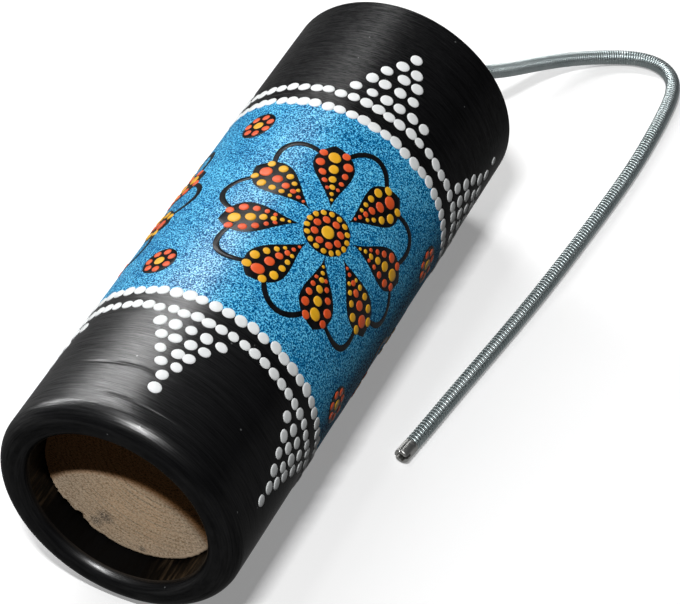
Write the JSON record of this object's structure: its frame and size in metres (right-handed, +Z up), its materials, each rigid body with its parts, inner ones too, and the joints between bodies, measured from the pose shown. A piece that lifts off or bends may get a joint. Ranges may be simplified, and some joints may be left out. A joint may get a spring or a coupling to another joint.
{
  "type": "thunder tube",
  "caption": "Short painted wooden tube closed by a plug at one end and a drum head at the other, with a long steel spring hung from the head that makes it rumble when shaken.",
  "frame": {"origin": "middle of the line on which the tube lies on the floor, under the tube's own middle", "axes": "+Y along the tube from the plugged end to the head end where the spring leaves, +Z up, +X to the side where the spring lies"},
  "size_m": [0.1105, 0.2963, 0.0779],
  "materials": {
    "painted_wood": "satin paint",
    "end_grain": "raw sawn end grain",
    "head_skin": "matt film",
    "ring_wood": "satin paint",
    "patch_leather": "matt",
    "washer_steel": "plain",
    "tail_steel": "drawn wire",
    "pin_steel": "drawn wire",
    "spring_steel": "drawn wire",
    "ferrule_steel": "plain"
  },
  "bodies": {
    "tube": {"body_tube": "painted_wood", "end_plug": "end_grain", "membrane": "head_skin", "head_ring": "ring_wood", "head_patch": "patch_leather", "inner_washer": "washer_steel"},
    "spring_root": {"spring_tail": "tail_steel", "anchor_pin": "pin_steel"},
    "spring": {"spring_coil": "spring_steel", "tip_ferrule": "ferrule_steel"}
  },
  "joints": [
    {"name": "spring_twirl", "type": "hinge", "parent": "tube", "child": "spring_root", "pos_m": [0, 0.0965, 0.03895], "axis": [0, -1, 0], "continuous": true},
    {"name": "spring_swing", "type": "hinge", "parent": "spring_root", "child": "spring", "pos_m": [0, 0.10155, 0.03895], "axis": [0, 0, 1], "range_deg": [-12, 55]}
  ]
}
